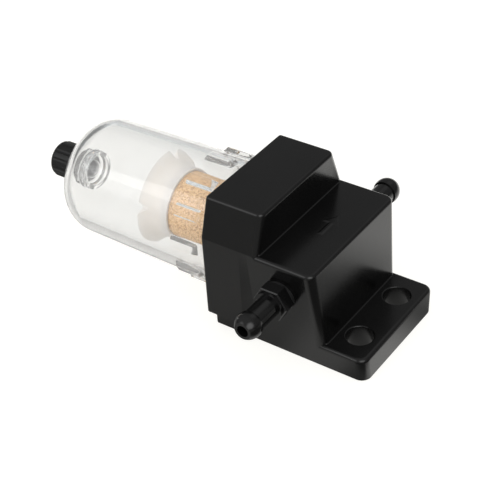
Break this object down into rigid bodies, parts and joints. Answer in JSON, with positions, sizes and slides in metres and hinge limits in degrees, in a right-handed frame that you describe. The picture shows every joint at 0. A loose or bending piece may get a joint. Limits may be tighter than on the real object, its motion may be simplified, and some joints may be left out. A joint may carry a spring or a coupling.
{
  "type": "fuel water separator",
  "caption": "Inline fuel water separator: block head with side hose barbs and a drilled mounting tab, clear screw-on bowl with a filter element and baffle, and a drain knob.",
  "frame": {"origin": "middle of the two mounting holes, on the flat back face", "axes": "+Z out of the mounting surface, +X from the bowl to the mounting tab, along the bowl's axis, +Y from the inlet barb to the outlet barb"},
  "size_m": [0.108, 0.068, 0.039],
  "materials": {
    "head_plastic": "satin",
    "barb_black": "gloss",
    "rubber": "matte",
    "white_plastic": "satin",
    "sintered_bronze": "matte",
    "steel": "satin",
    "clear_plastic": "gloss",
    "knob_plastic": "matte"
  },
  "bodies": {
    "head": {"head": "head_plastic", "inlet_barb": "barb_black", "outlet_barb": "barb_black", "inlet_seal": "rubber", "outlet_seal": "rubber", "diffuser": "white_plastic", "upper_gasket": "rubber", "filter_element": "sintered_bronze", "lower_gasket": "rubber", "baffle": "white_plastic", "bolt_washer": "rubber", "element_bolt": "steel"},
    "bowl_seal": {"bowl_seal": "rubber"},
    "bowl": {"bowl": "clear_plastic"},
    "drain_seal": {"drain_seal": "rubber"},
    "drain_knob": {"drain_knob": "knob_plastic"}
  },
  "joints": [
    {"name": "bowl_slide", "type": "slide", "parent": "head", "child": "bowl_seal", "axis": [-1, 0, 0], "range_m": [0, 0.00625]},
    {"name": "bowl_turn", "type": "hinge", "parent": "bowl_seal", "child": "bowl", "pos_m": [-0.03835, 0, 0.02], "axis": [-1, 0, 0], "range_deg": [0, 902]},
    {"name": "drain_slide", "type": "slide", "parent": "bowl", "child": "drain_seal", "axis": [-1, 0, 0], "range_m": [0, 0.0015]},
    {"name": "drain_turn", "type": "hinge", "parent": "drain_seal", "child": "drain_knob", "pos_m": [-0.0924, 0, 0.02], "axis": [-1, 0, 0], "range_deg": [0, 433]}
  ],
  "couplings": [
    {"joint": "bowl_turn", "follows": "bowl_slide", "rad_per_m": 2513.3},
    {"joint": "drain_turn", "follows": "drain_slide", "rad_per_m": 5026.5}
  ]
}
